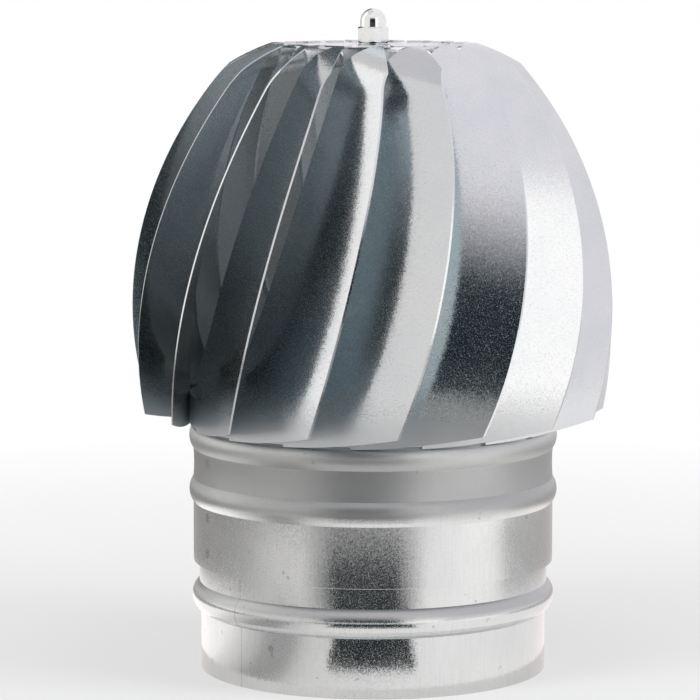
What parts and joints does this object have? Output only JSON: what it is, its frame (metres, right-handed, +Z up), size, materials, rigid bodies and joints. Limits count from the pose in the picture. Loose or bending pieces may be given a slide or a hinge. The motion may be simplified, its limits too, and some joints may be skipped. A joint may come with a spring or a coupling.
{
  "type": "rotating chimney cowl",
  "caption": "Wind-driven chimney cowl: a vaned head turns on a spindle above a beaded collar and a spigot that slips into a flue.",
  "frame": {"origin": "centre of the spigot's bottom rim, which is the bottom of the object", "axes": "+Z up along the spindle and the head's axis of turning; -Y faces the camera of the picture; +X is to the picture's right"},
  "size_m": [0.2071, 0.207, 0.2841],
  "materials": {
    "galvanised_sheet": "galvanised, fine spangle",
    "zinc_plated_steel": "zinc plated",
    "bearing_steel": "ground steel",
    "polished_cap": "polished",
    "seal_rubber": "matt black"
  },
  "bodies": {
    "base": {"lower_spigot": "galvanised_sheet", "upper_collar": "galvanised_sheet", "bridge_strap": "zinc_plated_steel", "spindle": "zinc_plated_steel", "bridge_lower_washer": "zinc_plated_steel", "bridge_lower_nut": "zinc_plated_steel", "bridge_upper_washer": "zinc_plated_steel", "bridge_upper_nut": "zinc_plated_steel", "support_nut": "zinc_plated_steel", "support_shim": "zinc_plated_steel", "lower_bearing_inner_ring": "bearing_steel", "bearing_spacer": "zinc_plated_steel", "upper_bearing_inner_ring": "bearing_steel", "top_spacer": "zinc_plated_steel", "acorn_nut": "polished_cap"},
    "head": {"top_disc": "galvanised_sheet", "vane_01": "galvanised_sheet", "vane_02": "galvanised_sheet", "vane_03": "galvanised_sheet", "vane_04": "galvanised_sheet", "vane_05": "galvanised_sheet", "vane_06": "galvanised_sheet", "vane_07": "galvanised_sheet", "vane_08": "galvanised_sheet", "vane_09": "galvanised_sheet", "vane_10": "galvanised_sheet", "vane_11": "galvanised_sheet", "vane_12": "galvanised_sheet", "vane_13": "galvanised_sheet", "vane_14": "galvanised_sheet", "vane_15": "galvanised_sheet", "vane_16": "galvanised_sheet", "vane_17": "galvanised_sheet", "lower_ring": "galvanised_sheet", "bearing_housing": "zinc_plated_steel", "housing_circlip": "zinc_plated_steel", "lower_bearing_outer_ring": "bearing_steel", "lower_bearing_seals": "seal_rubber", "upper_bearing_outer_ring": "bearing_steel", "upper_bearing_seals": "seal_rubber"}
  },
  "joints": [
    {"name": "head_spin", "type": "hinge", "parent": "base", "child": "head", "pos_m": [0, 0, 0.1], "axis": [0, 0, 1], "continuous": true}
  ]
}
